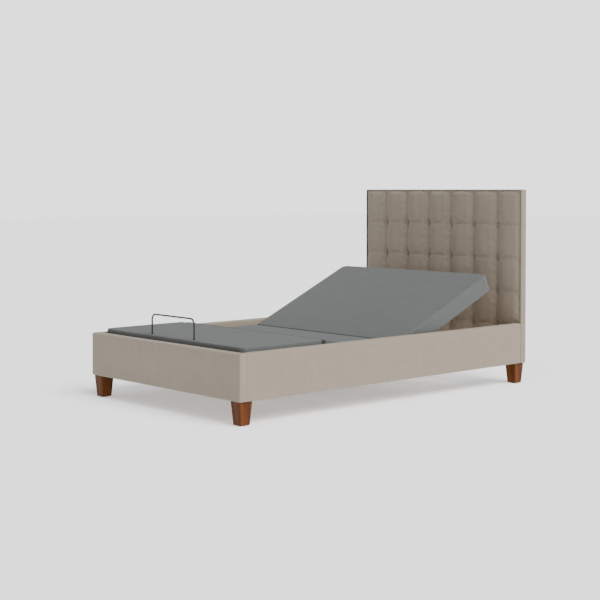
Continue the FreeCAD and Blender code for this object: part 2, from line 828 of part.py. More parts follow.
def socket_spans():
    """Mains inlet and handset socket in the housing's right-hand wall."""
    x = ("drive_width / 2 - socket_depth", "drive_width / 2 + socket_rim")
    z = ("drive_bottom + socket_rise", "drive_bottom + socket_rise + socket_high")
    for name in ("mains", "handset"):
        start = f"(drive_start + drive_end) / 2 - {name}_socket_back"
        yield x, (start, f"{start} + {name}_socket_wide"), z


def build_drive():
    """Motors with gearboxes, screw spindles, sliders, circuit board, sockets."""
    motors = []
    ends = {"thigh": ("thigh_shaft_y", -1), "back": ("back_shaft_y", 1)}
    for kind, (shaft, away) in ends.items():
        tip = f"{shaft} + {away} * spindle_overrun"
        root = f"{tip} - {away} * spindle_length"
        spindle = rod("y", ("0", root if away > 0 else tip, "spindle_height"), "spindle_radius", "spindle_length")
        node(spindle, f"{kind}_spindle")
        face = f"{root} - {away} * side_fit"
        rear = f"{face} - {away} * gearbox_length"
        box_y = (rear, face) if away > 0 else (face, rear)
        gearbox = block(centred("gearbox_width / 2"), box_y, ("slider_bottom", "gearbox_top"))
        start = f"{rear} - motor_length" if away > 0 else rear
        motor = rod("y", ("0", start, "motor_height"), "motor_radius", "motor_length")
        motors.append(fuse([gearbox, motor]))
        build_slider(kind, shaft, away)
    node(collect(motors), "drive_motors")

    build_control_board()
    sockets = []
    for x, y, z in socket_spans():
        rim = "socket_rim"
        well_y = (f"{y[0]} + {rim}", f"{y[1]} - {rim}")
        well_z = (f"{z[0]} + {rim}", f"{z[1]} - {rim}")
        well = block((f"{x[1]} - socket_well", x[1]), well_y, well_z)
        sockets.append(cut(block(x, y, z), [well]))
    node(collect(sockets), "drive_sockets")


def build_control_board():
    """The circuit board on four posts, with its transformer and heat sink."""
    floor = "drive_bottom + drive_wall"
    inner = "(gearbox_width / 2 + circuit_gap)"
    outer = "(drive_width / 2 - drive_wall - circuit_gap)"
    start = "((drive_start + drive_end) / 2 - circuit_back)"
    end = f"({start} + circuit_long)"
    top = f"{floor} + circuit_lift + circuit_thick"
    parts = [block((inner, outer), (start, end), (f"{floor} + circuit_lift", top))]
    for x in (f"{inner} + circuit_inset", f"{outer} - circuit_inset"):
        for y in (f"{start} + circuit_inset", f"{end} - circuit_inset"):
            parts.append(rod("z", (x, y, floor), "circuit_post", "circuit_lift + circuit_thick"))
    for name in ("transformer", "heat_sink"):
        x = f"({inner} + {outer}) / 2"
        y = f"{start} + {name}_place"
        span_x = (f"{x} - {name}_wide / 2", f"{x} + {name}_wide / 2")
        parts.append(block(span_x, (y, f"{y} + {name}_long"), (top, f"{top} + {name}_high")))
    node(fuse(parts), "control_board")


def build_slider(kind, shaft, away):
    """A nut block on the spindle with a slot for the shaft's lever."""
    y = f"{shaft} - {away} * lever_length * sin({kind}_full / 2)"
    half = "slider_length / 2"
    body = block(centred("slider_wide / 2"), (f"{y} - {half}", f"{y} + {half}"), ("slider_bottom", "slider_top"))
    slot_half = "(lever_tip + slot_fit)"
    slot = block(centred("slider_wide"), (f"{y} - {slot_half}", f"{y} + {slot_half}"), ("slot_bottom", "slider_top + 1"))
    start = f"{y} - slider_length"
    bore = rod("y", ("0", start, "spindle_height"), "spindle_radius + run_fit", "2 * slider_length")
    node(cut(body, [slot, bore]), f"{kind}_slider")


# ------------------------------------------------------- mattress retainer

def retainer_holes():
    y = "calf_start + retainer_place"
    bottom = "deck_top - retainer_tail - 2"
    return [
        rod("z", (f"{side} * retainer_width / 2", y, bottom), "retainer_radius + run_fit", "retainer_tail + 3")
        for side in SIDES
    ]


def build_retainer():
    """A bent steel rod, its ends let into the calf section's timber, and two collars."""
    body = new_body("retainer_rod")
    y = "calf_start + retainer_place"
    path = sketch_on(body, "XZ_Plane", ("0", "deck_top", f"-({y})"))
    half = size("retainer_width") / 2
    rise = size("retainer_rise") - size("retainer_radius")
    tail = -size("retainer_tail")
    bend = size("retainer_bend")
    corner = rise - bend
    left = (FreeCAD.Vector(-half, tail, 0), FreeCAD.Vector(-half, corner, 0))
    top = (FreeCAD.Vector(bend - half, rise, 0), FreeCAD.Vector(half - bend, rise, 0))
    right = (FreeCAD.Vector(half, corner, 0), FreeCAD.Vector(half, tail, 0))
    turn = bend * 0.5 ** 0.5
    left_mid = FreeCAD.Vector(bend - half - turn, corner + turn, 0)
    right_mid = FreeCAD.Vector(half - bend + turn, corner + turn, 0)
    path.addGeometry(Part.LineSegment(*left))
    path.addGeometry(Part.Arc(left[1], left_mid, top[0]))
    path.addGeometry(Part.LineSegment(*top))
    path.addGeometry(Part.Arc(top[1], right_mid, right[0]))
    path.addGeometry(Part.LineSegment(*right))
    profile = sketch_on(body, "XY_Plane", ("-retainer_width / 2", y, "deck_top - retainer_tail"))
    draw_circle(profile, "retainer_radius")
    document.recompute()
    pipe = body.newObject("PartDesign::AdditivePipe", "bent_rod")
    pipe.Profile = profile
    pipe.Spine = (path, [])
    node(body, "retainer_bar")
    collars = []
    for side in SIDES:
        foot = (f"{side} * retainer_width / 2", y, "deck_top")
        ring = rod("z", foot, "collar_radius", "collar_thick")
        collars.append(cut(ring, [rod("z", foot, "retainer_radius + run_fit", "collar_thick")]))
    node(collect(collars), "retainer_collars")


# --------------------------------------------------------------- rest pose

def turn_about(thing, y, z, angle):
    """Turn a finished sub-part about a line along X through a point."""
    thing.Placement = FreeCAD.Placement(FreeCAD.Vector(), FreeCAD.Rotation(FreeCAD.Vector(1, 0, 0), 10))
    bind(thing, "Placement.Rotation.Angle", angle)
    bind(thing, "Placement.Base.y", f"({y}) - ({y}) * cos({angle}) + ({z}) * sin({angle})")
    bind(thing, "Placement.Base.z", f"({z}) - ({y}) * sin({angle}) - ({z}) * cos({angle})")


def shift(thing, y, z):
    bind(thing, "Placement.Base.y", y)
    bind(thing, "Placement.Base.z", z)


def swept(arm_y, arm_z, angle):
    """How far the end of an arm moves when the arm turns, as (y, z)."""
    move_y = f"(({arm_y}) * (cos({angle}) - 1) - ({arm_z}) * sin({angle}))"
    move_z = f"(({arm_y}) * sin({angle}) + ({arm_z}) * (cos({angle}) - 1))"
    return move_y, move_z


def rest_pose():
    """Raise the back and the thigh, and carry everything that goes with them."""
    by_label = {thing.Label: thing for thing in nodes}
    back = "back_angle"
    thigh = "(-thigh_angle)"
    for label in ("back_cover", "back_board", "back_frame", "back_hinge_leaves", "back_lift_lugs"):
        turn_about(by_label[label], "back_y", "hinge_z", back)
    for label in ("thigh_cover", "thigh_board", "thigh_frame", "thigh_hinge_leaves", "thigh_lift_lugs"):
        turn_about(by_label[label], "thigh_y", "hinge_z", thigh)
    turn_about(by_label["back_lift_shaft"], "back_shaft_y", "shaft_z", back)
    turn_about(by_label["thigh_lift_shaft"], "thigh_shaft_y", "shaft_z", thigh)
    turn_about(by_label["calf_links"], "link_post_y", "link_post_z", thigh)
    knee = swept("knee_y - thigh_y", "knee_z - hinge_z", thigh)
    calf = ("calf_cover", "calf_board", "calf_frame", "calf_hinge_leaves", "calf_link_lugs")
    for label in calf + ("retainer_bar", "retainer_collars"):
        shift(by_label[label], *knee)
    shift(by_label["back_lift_rods"], *swept("back_arm_reach", "-arm_drop", back))
    shift(by_label["thigh_lift_rods"], *swept("-thigh_arm_reach", "-arm_drop", thigh))
    for kind, away, angle in (("back", 1, "back_angle"), ("thigh", -1, "thigh_angle")):
        travel = f"{away} * 2 * lever_length * sin({kind}_full / 2) * {angle} / {kind}_full"
        shift(by_label[f"{kind}_slider"], travel, "0")


def check(thing):
    if thing.Shape.isNull() or not thing.Shape.isValid():
        raise RuntimeError(f"{thing.Label}: bad shape")
    if not thing.Shape.Solids:
        raise RuntimeError(f"{thing.Label}: no solid")


build_rails()
build_headboard()
build_corner_blocks()
build_legs()
build_frame()
build_rest_pads()
build_sections()
build_hinges()
build_lift("back")
build_lift("thigh")
build_calf_links()
build_bearings()
build_housing()
build_drive()
build_retainer()
document.recompute()
rest_pose()
document.recompute()

failed = [thing.Label for thing in document.Objects if {"Invalid", "Error"} & set(thing.State)]
if failed:
    raise RuntimeError(f"failed objects: {failed}")
for thing in nodes:
    check(thing)

os.makedirs("parts", exist_ok=True)
for thing in nodes:
    thing.Shape.exportStep(f"parts/{thing.Label}.step")
print(len(nodes), "sub-parts")
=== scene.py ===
import json
import math

import bpy
import numpy as np
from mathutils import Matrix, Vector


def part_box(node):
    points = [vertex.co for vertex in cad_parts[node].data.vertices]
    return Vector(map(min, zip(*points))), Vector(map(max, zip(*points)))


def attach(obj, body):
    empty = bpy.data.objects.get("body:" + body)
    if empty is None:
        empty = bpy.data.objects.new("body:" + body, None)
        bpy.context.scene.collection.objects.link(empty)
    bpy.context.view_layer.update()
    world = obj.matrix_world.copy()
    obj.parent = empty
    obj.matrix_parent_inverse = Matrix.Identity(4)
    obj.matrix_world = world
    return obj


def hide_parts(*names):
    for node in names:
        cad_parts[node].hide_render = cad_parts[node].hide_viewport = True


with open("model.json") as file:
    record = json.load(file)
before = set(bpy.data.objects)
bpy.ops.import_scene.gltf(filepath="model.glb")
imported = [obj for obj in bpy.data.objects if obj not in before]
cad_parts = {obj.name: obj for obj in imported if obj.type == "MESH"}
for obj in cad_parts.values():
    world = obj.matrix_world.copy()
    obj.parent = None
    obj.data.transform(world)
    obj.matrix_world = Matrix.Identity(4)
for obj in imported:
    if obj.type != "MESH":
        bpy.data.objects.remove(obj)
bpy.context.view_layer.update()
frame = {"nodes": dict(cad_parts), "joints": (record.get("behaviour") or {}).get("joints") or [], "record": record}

# Adjustable bed base: upholstered surround with a tufted headboard, a
# four-section deck and the gear below it.  Metres, +Z up, foot end at -Y.

record = frame["record"]
joints = {joint["name"]: joint for joint in frame["joints"]}
nodes = frame["nodes"]
MM = 0.001


# ------------------------------------------------------------ mesh making

def make_piece(name, points, faces, smooth=True):
    """A mesh object from an array of points and a list of faces."""
    mesh = bpy.data.meshes.new(name)
    mesh.from_pydata(np.asarray(points, float).tolist(), [], [list(map(int, face)) for face in faces])
    mesh.polygons.foreach_set("use_smooth", np.full(len(mesh.polygons), smooth))
    mesh.update()
    piece = bpy.data.objects.new(name, mesh)
    bpy.context.scene.collection.objects.link(piece)
    return piece


def coordinates(piece):
    flat = np.empty(3 * len(piece.data.vertices))
    piece.data.vertices.foreach_get("co", flat)
    return flat.reshape(-1, 3)


def set_coordinates(piece, points):
    piece.data.vertices.foreach_set("co", np.asarray(points, float).ravel())
    piece.data.update()


def grid_faces(rows, columns, first=0, wrap=False):
    """Quads of a grid of points stored row by row; wrap joins the last column to the first."""
    across = columns if wrap else columns - 1
    row, column = np.meshgrid(np.arange(rows - 1), np.arange(across), indexing="ij")
    beside = (column + 1) % columns
    quads = np.stack([row * columns + column, row * columns + beside,
                      (row + 1) * columns + beside, (row + 1) * columns + column], axis=-1)
    return first + quads.reshape(-1, 4)


def edge_stops(low, high, radius, cell):
    """Coordinates along one side of a box, close together where its edge is rounded.

    In a rounded zone the stops are radius * tan(angle) from the straight part,
    for equal steps of angle up to 45 degrees.
    """
    steps = radius * np.tan(np.linspace(0, math.pi / 4, 5))
    straight = np.linspace(low + radius, high - radius, max(2, round((high - low) / cell)))
    return np.concatenate([(low + radius - steps[:0:-1]), straight, (high - radius + steps[1:])])


def rounded_box(low, high, radius, cell, leave_out=()):
    """Points and quads of a box with rounded edges and corners.

    Each point of a grid on the plain box is moved to radius from the nearest
    point of the inner box, which is the box made smaller by the radius on all
    sides.  leave_out lists (axis, end) faces that stay open.
    """
    low, high = np.asarray(low, float), np.asarray(high, float)
    stops = [edge_stops(low[axis], high[axis], radius, cell) for axis in range(3)]
    points, quads, count = [], [], 0
    for axis in range(3):
        first, second = [(1, 2), (2, 0), (0, 1)][axis]
        for end in (0, 1):
            if (axis, end) in leave_out:
                continue
            a, b = np.meshgrid(stops[first], stops[second], indexing="ij")
            face = np.empty(a.shape + (3,))
            face[..., first], face[..., second] = a, b
            face[..., axis] = (low, high)[end][axis]
            cells = grid_faces(*a.shape, first=count)
            quads.append(cells[:, ::-1] if end else cells)
            points.append(face.reshape(-1, 3))
            count += a.size
    points = np.concatenate(points)
    quads = np.concatenate(quads)
    _, keep, inverse = np.unique(np.round(points, 7), axis=0, return_index=True, return_inverse=True)
    points, quads = points[keep], inverse.reshape(-1)[quads]
    inner = np.clip(points, low + radius, high - radius)
    away = points - inner
    points = inner + radius * away / np.linalg.norm(away, axis=1, keepdims=True)
    return points, quads[:, ::-1]


def bump_noise(points, size, seed):
    """A smooth wandering value from -1 to 1.

    The mean of six sine waves in fixed directions, each about size long.
    """
    chance = np.random.default_rng(seed)
    ways = chance.normal(size=(6, 3))
    ways /= np.linalg.norm(ways, axis=1, keepdims=True)
    lengths, starts = chance.uniform(0.6, 1.5, 6), chance.uniform(0, 6.28, 6)
    turns = points @ ways.T * (2 * math.pi / size) * lengths + starts
    return np.sin(turns).mean(axis=1)


def swell(points, low, high, rise, axis):
    """Push the two faces across one axis outwards.

    The push is rise * (1 - u^2) * (1 - v^2), with u and v from -1 to 1 on the face.
    """
    low, high = np.asarray(low), np.asarray(high)
    unit = (2 * points - low - high) / (high - low)
    others = [k for k in range(3) if k != axis]
    crown = np.clip(1 - unit[:, others[0]] ** 2, 0, 1) * np.clip(1 - unit[:, others[1]] ** 2, 0, 1)
    moved = points.copy()
    moved[:, axis] += rise * crown * np.clip(unit[:, axis], -1, 1)
    return moved


def tube_along(line, radius, sides, across):
    """A round welt along a line of points in a plane whose normal is across, with closed ends.

    At each point the section is radius * (cos t * side + sin t * across), where
    side is at right angles to the line's direction and to across.
    """
    line, across = np.asarray(line, float), np.asarray(across, float)
    run = np.gradient(line, axis=0)
    run /= np.linalg.norm(run, axis=1, keepdims=True)
    side = np.cross(run, across)
    turn = np.linspace(0, 2 * math.pi, sides, endpoint=False)
    ring = np.cos(turn)[None, :, None] * side[:, None] + np.sin(turn)[None, :, None] * across
    points = (line[:, None] + radius * ring).reshape(-1, 3)
    faces = grid_faces(len(line), sides, wrap=True).tolist()
    last = (len(line) - 1) * sides
    faces += [list(range(sides))[::-1], [last + k for k in range(sides)]]
    return points, faces


def revolved(profile, sides, centres):
    """Round pieces that face -Y: a (radius, depth) profile turned about Y at each centre.

    The first and the last point of the profile are on the axis, so each is one pole.
    """
    profile = np.asarray(profile, float)
    turn = np.linspace(0, 2 * math.pi, sides, endpoint=False)
    rings = profile[1:-1]
    ring_points = np.stack([
        rings[:, :1] * np.cos(turn),
        np.broadcast_to(rings[:, 1:], (len(rings), sides)),
        rings[:, :1] * np.sin(turn),
    ], axis=-1).reshape(-1, 3)
    poles = np.array([[0, profile[0, 1], 0], [0, profile[-1, 1], 0]])
    one = np.concatenate([ring_points, poles])
    quads = grid_faces(len(rings), sides, wrap=True)
    front, back = len(ring_points), len(ring_points) + 1
    around = np.arange(sides)
    beside = (around + 1) % sides
    last = (len(rings) - 1) * sides
    fans = np.concatenate([
        np.stack([beside, around, np.full(sides, front)], axis=1),
        np.stack([last + around, last + beside, np.full(sides, back)], axis=1),
    ])
    centres = np.asarray(centres, float)
    points = (centres[:, None] + one).reshape(-1, 3)
    faces = []
    for first in range(0, len(points), len(one)):
        faces += (quads + first).tolist() + (fans + first).tolist()
    return points, faces


def fabric_thickness(piece, thick):
    """Give an open cloth shell its thickness on the inside."""
    solidify = piece.modifiers.new("cloth thickness", "SOLIDIFY")
    solidify.thickness = thick
    solidify.offset = -1
    solidify.use_even_offset = False


def smooth_out(piece):
    subdivision = piece.modifiers.new("soft", "SUBSURF")
    subdivision.levels = subdivision.render_levels = 1


def puff_up(piece, sewn, pressure, slack, cap, frames=18):
    """Let a cloth surface swell under pressure, held where it is sewn down.

    No point moves further than cap.
    """
    before = coordinates(piece)
    held = piece.vertex_groups.new(name="sewn")
    held.add(np.flatnonzero(sewn).tolist(), 1.0, "REPLACE")
    cloth = piece.modifiers.new("puff", "CLOTH")
    cloth.settings.quality = 5
    cloth.settings.mass = 0.2
    cloth.settings.tension_stiffness = cloth.settings.compression_stiffness = 12
    cloth.settings.shear_stiffness = 4
    cloth.settings.bending_stiffness = 0.15
    cloth.settings.use_pressure = True
    cloth.settings.uniform_pressure_force = pressure
    cloth.settings.shrink_min = -slack
    cloth.settings.vertex_group_mass = "sewn"
    cloth.settings.effector_weights.gravity = 0
    cloth.collision_settings.use_collision = False
    cloth.point_cache.frame_start, cloth.point_cache.frame_end = 1, frames
    scene = bpy.context.scene
    for step in range(1, frames + 1):
        scene.frame_set(step)
    puffed = piece.evaluated_get(bpy.context.evaluated_depsgraph_get()).data
    after = np.empty(3 * len(puffed.vertices))
    puffed.vertices.foreach_get("co", after)
    move = after.reshape(-1, 3) - before
    length = np.linalg.norm(move, axis=1, keepdims=True)
    piece.modifiers.remove(cloth)
    piece.vertex_groups.clear()
    set_coordinates(piece, before + move * np.minimum(1, cap / np.maximum(length, 1e-9)))
    scene.frame_set(1)


# --------------------------------------------------------------- materials

def linear(colour):
    """An sRGB hex colour as linear RGBA."""
    channels = np.array([int(colour[k:k + 2], 16) / 255 for k in (1, 3, 5)])
    values = np.where(channels <= 0.04045, channels / 12.92, ((channels + 0.055) / 1.055) ** 2.4)
    return (*values.tolist(), 1.0)


def add(tree, kind, settings=None, values=None, links=None):
    """One node with its settings, its sockets' values and the links into it."""
    part = tree.nodes.new(kind)
    for key, value in (settings or {}).items():
        setattr(part, key, value)
    for socket, value in (values or {}).items():
        part.inputs[socket].default_value = value
    for socket, source in (links or {}).items():
        tree.links.new(source, part.inputs[socket])
    return part


def new_material(name):
    """An empty node material and its object coordinates."""
    material = bpy.data.materials.new(name)
    material.use_nodes = True
    material.node_tree.nodes.clear()
    coords = add(material.node_tree, "ShaderNodeTexCoord")
    return material, material.node_tree, coords.outputs["Object"]


def colour_ramp(tree, source, stops):
    """Colours along a value: stops are (place, hex)."""
    ramp = add(tree, "ShaderNodeValToRGB", links={"Fac": source})
    while len(ramp.color_ramp.elements) < len(stops):
        ramp.color_ramp.elements.new(0.5)
    for element, (place, colour) in zip(ramp.color_ramp.elements, stops):
        element.position, element.color = place, linear(colour)
    return ramp.outputs["Color"]


def shade(material, tree, colour, bump_from, bump_mm, values, roughness=None):
    """The surface shader: colour, bump of a real depth, and the values that are the same all over."""
    bump = add(tree, "ShaderNodeBump", values={"Distance": bump_mm * MM, "Strength": 1.0},
               links={"Height": bump_from})
    links = {"Base Color": colour, "Normal": bump.outputs["Normal"]}
    if roughness is not None:
        links["Roughness"] = roughness
    surface = add(tree, "ShaderNodeBsdfPrincipled", values=values, links=links)
    add(tree, "ShaderNodeOutputMaterial", links={"Surface": surface.outputs["BSDF"]})
    return material


WAVE_PERIOD = 0.314             # metres between a wave texture's bands at scale 1
MOTTLE_MM = 140                 # width of the slow patches in a cloth's dye
# How much of a cloth's tone comes from its dye, its slubs and its weave.
MOTTLE_SHARE, SLUB_SHARE, WEAVE_SHARE = 0.10, 0.25, 0.40


def woven(name, dark, middle, light, thread_mm, slub_mm, depth_mm, values):
    """Plain-woven cloth.

    Threads are bands along X, Y and Z, the highest of the three at each point,
    so every face shows the two sets that cross on it.  Slubs are long noise
    along and across, and a slow mottle varies the dye.
    """
    material, tree, at = new_material(name)
    bands = []
    for axis in "XYZ":
        wave = add(tree, "ShaderNodeTexWave", settings={"bands_direction": axis},
                   values={"Scale": WAVE_PERIOD / (thread_mm * MM), "Distortion": 1.2, "Detail": 2.0,
                           "Detail Scale": 3.0}, links={"Vector": at})
        bands.append(wave.outputs["Fac"])
    crossing = add(tree, "ShaderNodeMath", settings={"operation": "MAXIMUM"},
                   links={0: bands[0], 1: bands[1]})
    weave = add(tree, "ShaderNodeMath", settings={"operation": "MAXIMUM"},
                links={0: crossing.outputs[0], 1: bands[2]})
    streaks = []
    for scale in ((0.12, 0.12, 1.0), (1.0, 1.0, 0.12)):
        stretched = add(tree, "ShaderNodeMapping", values={"Scale": scale}, links={"Vector": at})
        noise = add(tree, "ShaderNodeTexNoise",
                    values={"Scale": 1 / (slub_mm * MM), "Detail": 3.0, "Roughness": 0.6},
                    links={"Vector": stretched.outputs["Vector"]})
        streaks.append(noise.outputs["Fac"])
    slub = add(tree, "ShaderNodeMath", settings={"operation": "ADD"}, links={0: streaks[0], 1: streaks[1]})
    mottle = add(tree, "ShaderNodeTexNoise",
                 values={"Scale": 1 / (MOTTLE_MM * MM), "Detail": 5.0, "Roughness": 0.6},
                 links={"Vector": at})
    dye = add(tree, "ShaderNodeMath", settings={"operation": "MULTIPLY"}, values={1: MOTTLE_SHARE},
              links={0: mottle.outputs["Fac"]})
    yarn = add(tree, "ShaderNodeMath", settings={"operation": "MULTIPLY_ADD"}, values={1: SLUB_SHARE},
               links={0: slub.outputs[0], 2: dye.outputs[0]})
    tone = add(tree, "ShaderNodeMath", settings={"operation": "MULTIPLY_ADD"}, values={1: WEAVE_SHARE},
               links={0: weave.outputs[0], 2: yarn.outputs[0]})
    colour = colour_ramp(tree, tone.outputs[0], ((0.40, dark), (0.60, middle), (0.80, light)))
    height = add(tree, "ShaderNodeMath", settings={"operation": "MULTIPLY_ADD"}, values={1: 0.5},
                 links={0: slub.outputs[0], 2: weave.outputs[0]})
    return shade(material, tree, colour, height.outputs[0], depth_mm, values)


def grained(name, stops, ring_mm, pore_mm, depth_mm, stretch, values):
    """Wood: growth rings as bands bent by noise, stretched along the grain, with fine pores over them."""
    material, tree, at = new_material(name)
    along = add(tree, "ShaderNodeMapping", values={"Scale": stretch}, links={"Vector": at})
    rings = add(tree, "ShaderNodeTexWave", settings={"wave_type": "BANDS", "bands_direction": "DIAGONAL"},
                values={"Scale": WAVE_PERIOD / (ring_mm * MM), "Distortion": 7.0, "Detail": 3.0,
                        "Detail Scale": 1.2, "Detail Roughness": 0.6},
                links={"Vector": along.outputs["Vector"]})
    pores = add(tree, "ShaderNodeTexNoise",
                values={"Scale": 1 / (pore_mm * MM), "Detail": 5.0, "Roughness": 0.7},
                links={"Vector": along.outputs["Vector"]})
    mixed = add(tree, "ShaderNodeMath", settings={"operation": "MULTIPLY_ADD"}, values={1: 0.45},
                links={0: rings.outputs["Fac"], 2: pores.outputs["Fac"]})
    colour = colour_ramp(tree, mixed.outputs[0], stops)
    rough = add(tree, "ShaderNodeMapRange",
                values={"From Min": 0.2, "From Max": 1.1, "To Min": values["Roughness"] - 0.08,
                        "To Max": values["Roughness"] + 0.1}, links={"Value": mixed.outputs[0]})
    return shade(material, tree, colour, mixed.outputs[0], depth_mm, values, rough.outputs["Result"])


def fine_grained(name, dark, light, grain_mm, depth_mm, values, patch_mm=60):
    """Paint, plastic or rubber.

    A fine surface grain over slow patches of tone, and roughness that follows them.
    """
    material, tree, at = new_material(name)
    grain = add(tree, "ShaderNodeTexNoise", values={"Scale": 1 / (grain_mm * MM), "Detail": 3.0},
                links={"Vector": at})
    patch = add(tree, "ShaderNodeTexNoise", values={"Scale": 1 / (patch_mm * MM), "Detail": 4.0},
                links={"Vector": at})
    tone = add(tree, "ShaderNodeMath", settings={"operation": "MULTIPLY_ADD"}, values={1: 0.3},
               links={0: grain.outputs["Fac"], 2: patch.outputs["Fac"]})
    colour = colour_ramp(tree, tone.outputs[0], ((0.4, dark), (0.9, light)))
    rough = add(tree, "ShaderNodeMapRange",
                values={"From Min": 0.3, "From Max": 1.0, "To Min": values["Roughness"] - 0.06,
                        "To Max": values["Roughness"] + 0.08}, links={"Value": tone.outputs[0]})
    return shade(material, tree, colour, grain.outputs["Fac"], depth_mm, values, rough.outputs["Result"])


def plated(name, dark, light, spangle_mm, values):
    """Zinc plating.

    Crystals a few millimetres wide, each a little lighter or darker, over fine drawing marks.
    """
    material, tree, at = new_material(name)
    crystals = add(tree, "ShaderNodeTexVoronoi", values={"Scale": 1 / (spangle_mm * MM), "Randomness": 1.0},
                   links={"Vector": at})
    marks = add(tree, "ShaderNodeTexNoise", values={"Scale": 900.0, "Detail": 2.0}, links={"Vector": at})
    tone = add(tree, "ShaderNodeMath", settings={"operation": "MULTIPLY_ADD"}, values={1: 0.4},
               links={0: marks.outputs["Fac"], 2: crystals.outputs["Distance"]})
    colour = colour_ramp(tree, tone.outputs[0], ((0.2, dark), (0.9, light)))
    rough = add(tree, "ShaderNodeMapRange",
                values={"From Min": 0.2, "From Max": 1.0, "To Min": values["Roughness"] - 0.1,
                        "To Max": values["Roughness"] + 0.1}, links={"Value": tone.outputs[0]})
    return shade(material, tree, colour, marks.outputs["Fac"], 0.05, values, rough.outputs["Result"])


def circuit(name):
    """Circuit board under solder resist: copper tracks show as straight lighter lines."""
    material, tree, at = new_material(name)
    tracks = add(tree, "ShaderNodeTexBrick", settings={"offset": 0.5},
                 values={"Color1": linear("#174B2B"), "Color2": linear("#1E5A34"),
                         "Mortar": linear("#3C7F4E"), "Scale": 20.0, "Mortar Size": 0.03},
                 links={"Vector": at})
    return shade(material, tree, tracks.outputs["Color"], tracks.outputs["Fac"], 0.1, {"Roughness": 0.35})


# Plain-woven polyester, matt with a soft sheen.  Threads are about 1 mm; they
# are drawn 7 mm apart, as coarse as they need to be to show.
SURROUND = woven("woven_polyester_beige", "#7E7364", "#837869", "#8B8071", 7.0, 22, 0.5,
                 {"Roughness": 0.92, "Sheen Weight": 0.18, "Sheen Roughness": 0.5,
                  "Specular IOR Level": 0.25})
# The same cloth pulled over the buttons, drawn a little darker all over.
BUTTON = woven("woven_polyester_beige_stretched", "#746A5C", "#7B7063", "#84796B", 5.0, 15, 0.3,
               {"Roughness": 0.88, "Sheen Weight": 0.15, "Specular IOR Level": 0.25})
# Piping in the same cloth cut on the bias, smoother and slightly darker.
PIPING = woven("bias_cut_piping", "#6E6456", "#756B5D", "#7D7365", 5.0, 18, 0.3,
               {"Roughness": 0.9, "Sheen Weight": 0.15, "Specular IOR Level": 0.25})
# Dense dark grey upholstery weave on the deck, flat and matt. Its grey is partly the cloth's own and partly
# painted shade: it is drawn darker for the shadow a mattress lying on the deck would cast.
DECK = woven("dense_woven_grey", "#4C4E4D", "#515352", "#575958", 7.0, 14, 0.4,
             {"Roughness": 0.95, "Sheen Weight": 0.12, "Specular IOR Level": 0.2})
# Beech stained brown under satin lacquer: broad cathedral figure, 28 mm, along the leg.
LEG = grained("stained_beech_satin", ((0.30, "#2E1300"), (0.60, "#482202"), (1.0, "#5E3208")), 28, 2.2, 0.15,
              (1.0, 1.0, 0.10), {"Roughness": 0.5, "Specular IOR Level": 0.15, "Coat Weight": 0.03,
                                 "Coat Roughness": 0.3})
# Sawn pine, dry and matt, with wide soft figure, 40 mm.
PINE = grained("sawn_pine", ((0.25, "#B08A58"), (0.6, "#C9A775"), (1.0, "#DCC196")), 40, 3, 0.3,
               (0.15, 0.15, 1.0), {"Roughness": 0.8})
# Rotary-cut birch plywood, pale with long faint figure, 70 mm.
PLY = grained("birch_plywood", ((0.25, "#B8925F"), (0.6, "#CBA976"), (1.0, "#DDC297")), 70, 3, 0.15,
              (0.12, 1.0, 1.0), {"Roughness": 0.7})
# Zinc-plated pressings, cool grey with faint crystals.
ZINC = plated("zinc_plated_steel", "#9EA3A8", "#D2D6DA", 4, {"Metallic": 1.0, "Roughness": 0.35})
# Black powder coat on steel: satin with a slight orange peel.
POWDER = fine_grained("black_powder_coat", "#121214", "#232326", 1.6, 0.06, {"Roughness": 0.42, "IOR": 1.5})
# The bent wire has the same coat, thinner and smoother.
WIRE = fine_grained("black_wire_coat", "#101012", "#222224", 0.9, 0.03, {"Roughness": 0.36, "IOR": 1.5})
# Spark-eroded black ABS, matt.
PLASTIC = fine_grained("moulded_black_abs", "#161618", "#28282B", 0.8, 0.08, {"Roughness": 0.55, "IOR": 1.52})
# Vulcanised rubber, dull and slightly dusty.
RUBBER = fine_grained("vulcanised_rubber", "#1A1A1A", "#303030", 1.2, 0.1, {"Roughness": 0.8, "IOR": 1.5})
# Grey enamel on the motor cans and gearboxes.
MOTOR = fine_grained("grey_enamel_steel", "#3E4044", "#55585D", 2.0, 0.05, {"Roughness": 0.4, "IOR": 1.5})
# Natural nylon, waxy and slightly yellow.
NYLON = fine_grained("natural_nylon", "#CFCBBE", "#E4E1D6", 1.0, 0.03,
                     {"Roughness": 0.45, "IOR": 1.53, "Subsurface Weight": 0.1, "Subsurface Scale": 0.004})
CIRCUIT = circuit("circuit_board_resist")

FINISHES = {
    "surround_fabric": SURROUND, "carcass_timber": PINE, "deck_plywood": PLY, "leg_wood": LEG,
    "deck_fabric": DECK, "zinc_steel": ZINC, "black_steel": POWDER, "black_plastic": PLASTIC,
    "pad_rubber": RUBBER, "motor_steel": MOTOR, "nut_plastic": NYLON, "circuit_board": CIRCUIT,
}


def finish(piece, material, body, slot_name, *replaced):
    """Give a new piece its material and body, and hide the CAD nodes it stands for. The slot name is not used."""
    piece.data.materials.append(material)
    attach(piece, body)
    if replaced:
        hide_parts(*replaced)
    return piece


def finish_cad_nodes():
    """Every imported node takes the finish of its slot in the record."""
    for part in record["subparts"]:
        material = WIRE if part["node"] == "retainer_bar" else FINISHES[part["material_slot"]]
        mesh = nodes[part["node"]].data
        mesh.materials.clear()
        mesh.materials.append(material)


# --------------------------------------------------------------- surround

RAIL_EDGE = 7 * MM


